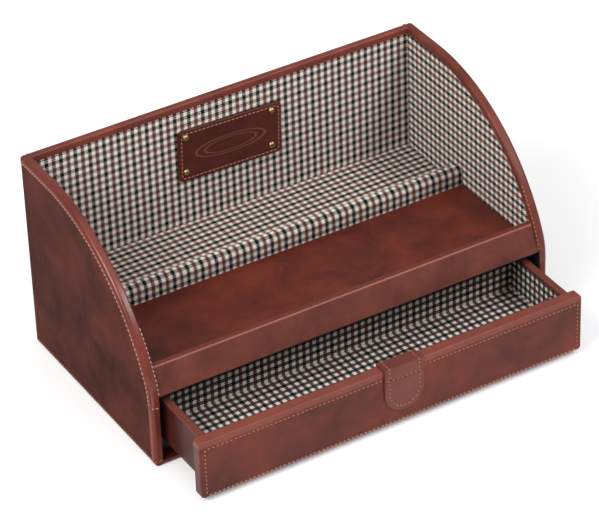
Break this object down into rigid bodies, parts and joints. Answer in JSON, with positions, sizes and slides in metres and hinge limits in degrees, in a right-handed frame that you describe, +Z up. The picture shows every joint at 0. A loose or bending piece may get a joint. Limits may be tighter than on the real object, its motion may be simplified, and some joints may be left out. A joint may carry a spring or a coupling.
{
  "type": "charging valet box",
  "caption": "Desktop box in leather with curved cheeks, a cloth-lined ledge where phones lean and charge, a front tray, and a drawer with a leather pull tab.",
  "frame": {"origin": "On the table, in the middle of the cabinet's footprint; the drawer stands open in front of it.", "axes": "X runs along the front to the right, Y from the drawer to the back wall, Z up."},
  "size_m": [0.3, 0.2145, 0.1475],
  "materials": {
    "body_leather": "semi-gloss, mottled",
    "binding_leather": "semi-gloss, stitched",
    "tab_leather": "semi-gloss, stitched",
    "checked_cloth": "woven check",
    "board": "black stain",
    "runner_wood": "dark stain, waxed",
    "felt": "pressed felt",
    "stud_brass": "polished",
    "grommet_rubber": "matt"
  },
  "bodies": {
    "cabinet": {"base_felt": "felt", "base_board": "board", "base_edge_leather": "body_leather", "left_side_board": "board", "right_side_board": "board", "left_side_leather": "body_leather", "right_side_leather": "body_leather", "left_front_strip": "binding_leather", "right_front_strip": "binding_leather", "left_edge_binding": "binding_leather", "right_edge_binding": "binding_leather", "back_board": "board", "back_leather": "body_leather", "back_top_binding": "binding_leather", "cable_port_grommet": "grommet_rubber", "deck_board": "board", "front_rail_board": "board", "front_rail_leather": "body_leather", "platform_panel": "board", "platform_leather": "body_leather", "ridge_bar": "board", "ridge_cover": "checked_cloth", "ledge_lining": "checked_cloth", "back_lining": "checked_cloth", "left_side_lining": "checked_cloth", "right_side_lining": "checked_cloth", "nameplate": "binding_leather", "nameplate_studs": "stud_brass", "left_drawer_runner": "runner_wood", "right_drawer_runner": "runner_wood", "left_drawer_guide": "runner_wood", "right_drawer_guide": "runner_wood", "drawer_stop": "runner_wood"},
    "drawer": {"drawer_front_board": "board", "drawer_front_leather": "body_leather", "drawer_underside": "body_leather", "drawer_bottom_board": "board", "drawer_left_board": "board", "drawer_right_board": "board", "drawer_back_board": "board", "drawer_left_leather": "body_leather", "drawer_right_leather": "body_leather", "drawer_back_leather": "body_leather", "drawer_floor_lining": "checked_cloth", "drawer_left_lining": "checked_cloth", "drawer_right_lining": "checked_cloth", "drawer_back_lining": "checked_cloth", "drawer_front_lining": "checked_cloth", "pull_tab_strap": "tab_leather"},
    "tab": {"pull_tab": "tab_leather"}
  },
  "joints": [
    {"name": "drawer_slide", "type": "slide", "parent": "cabinet", "child": "drawer", "axis": [0, -1, 0], "range_m": [-0.049, 0.008]},
    {"name": "tab_hinge", "type": "hinge", "parent": "drawer", "child": "tab", "pos_m": [0.0054, -0.1325, 0.0389], "axis": [-1, 0, 0], "range_deg": [0, 70]}
  ]
}
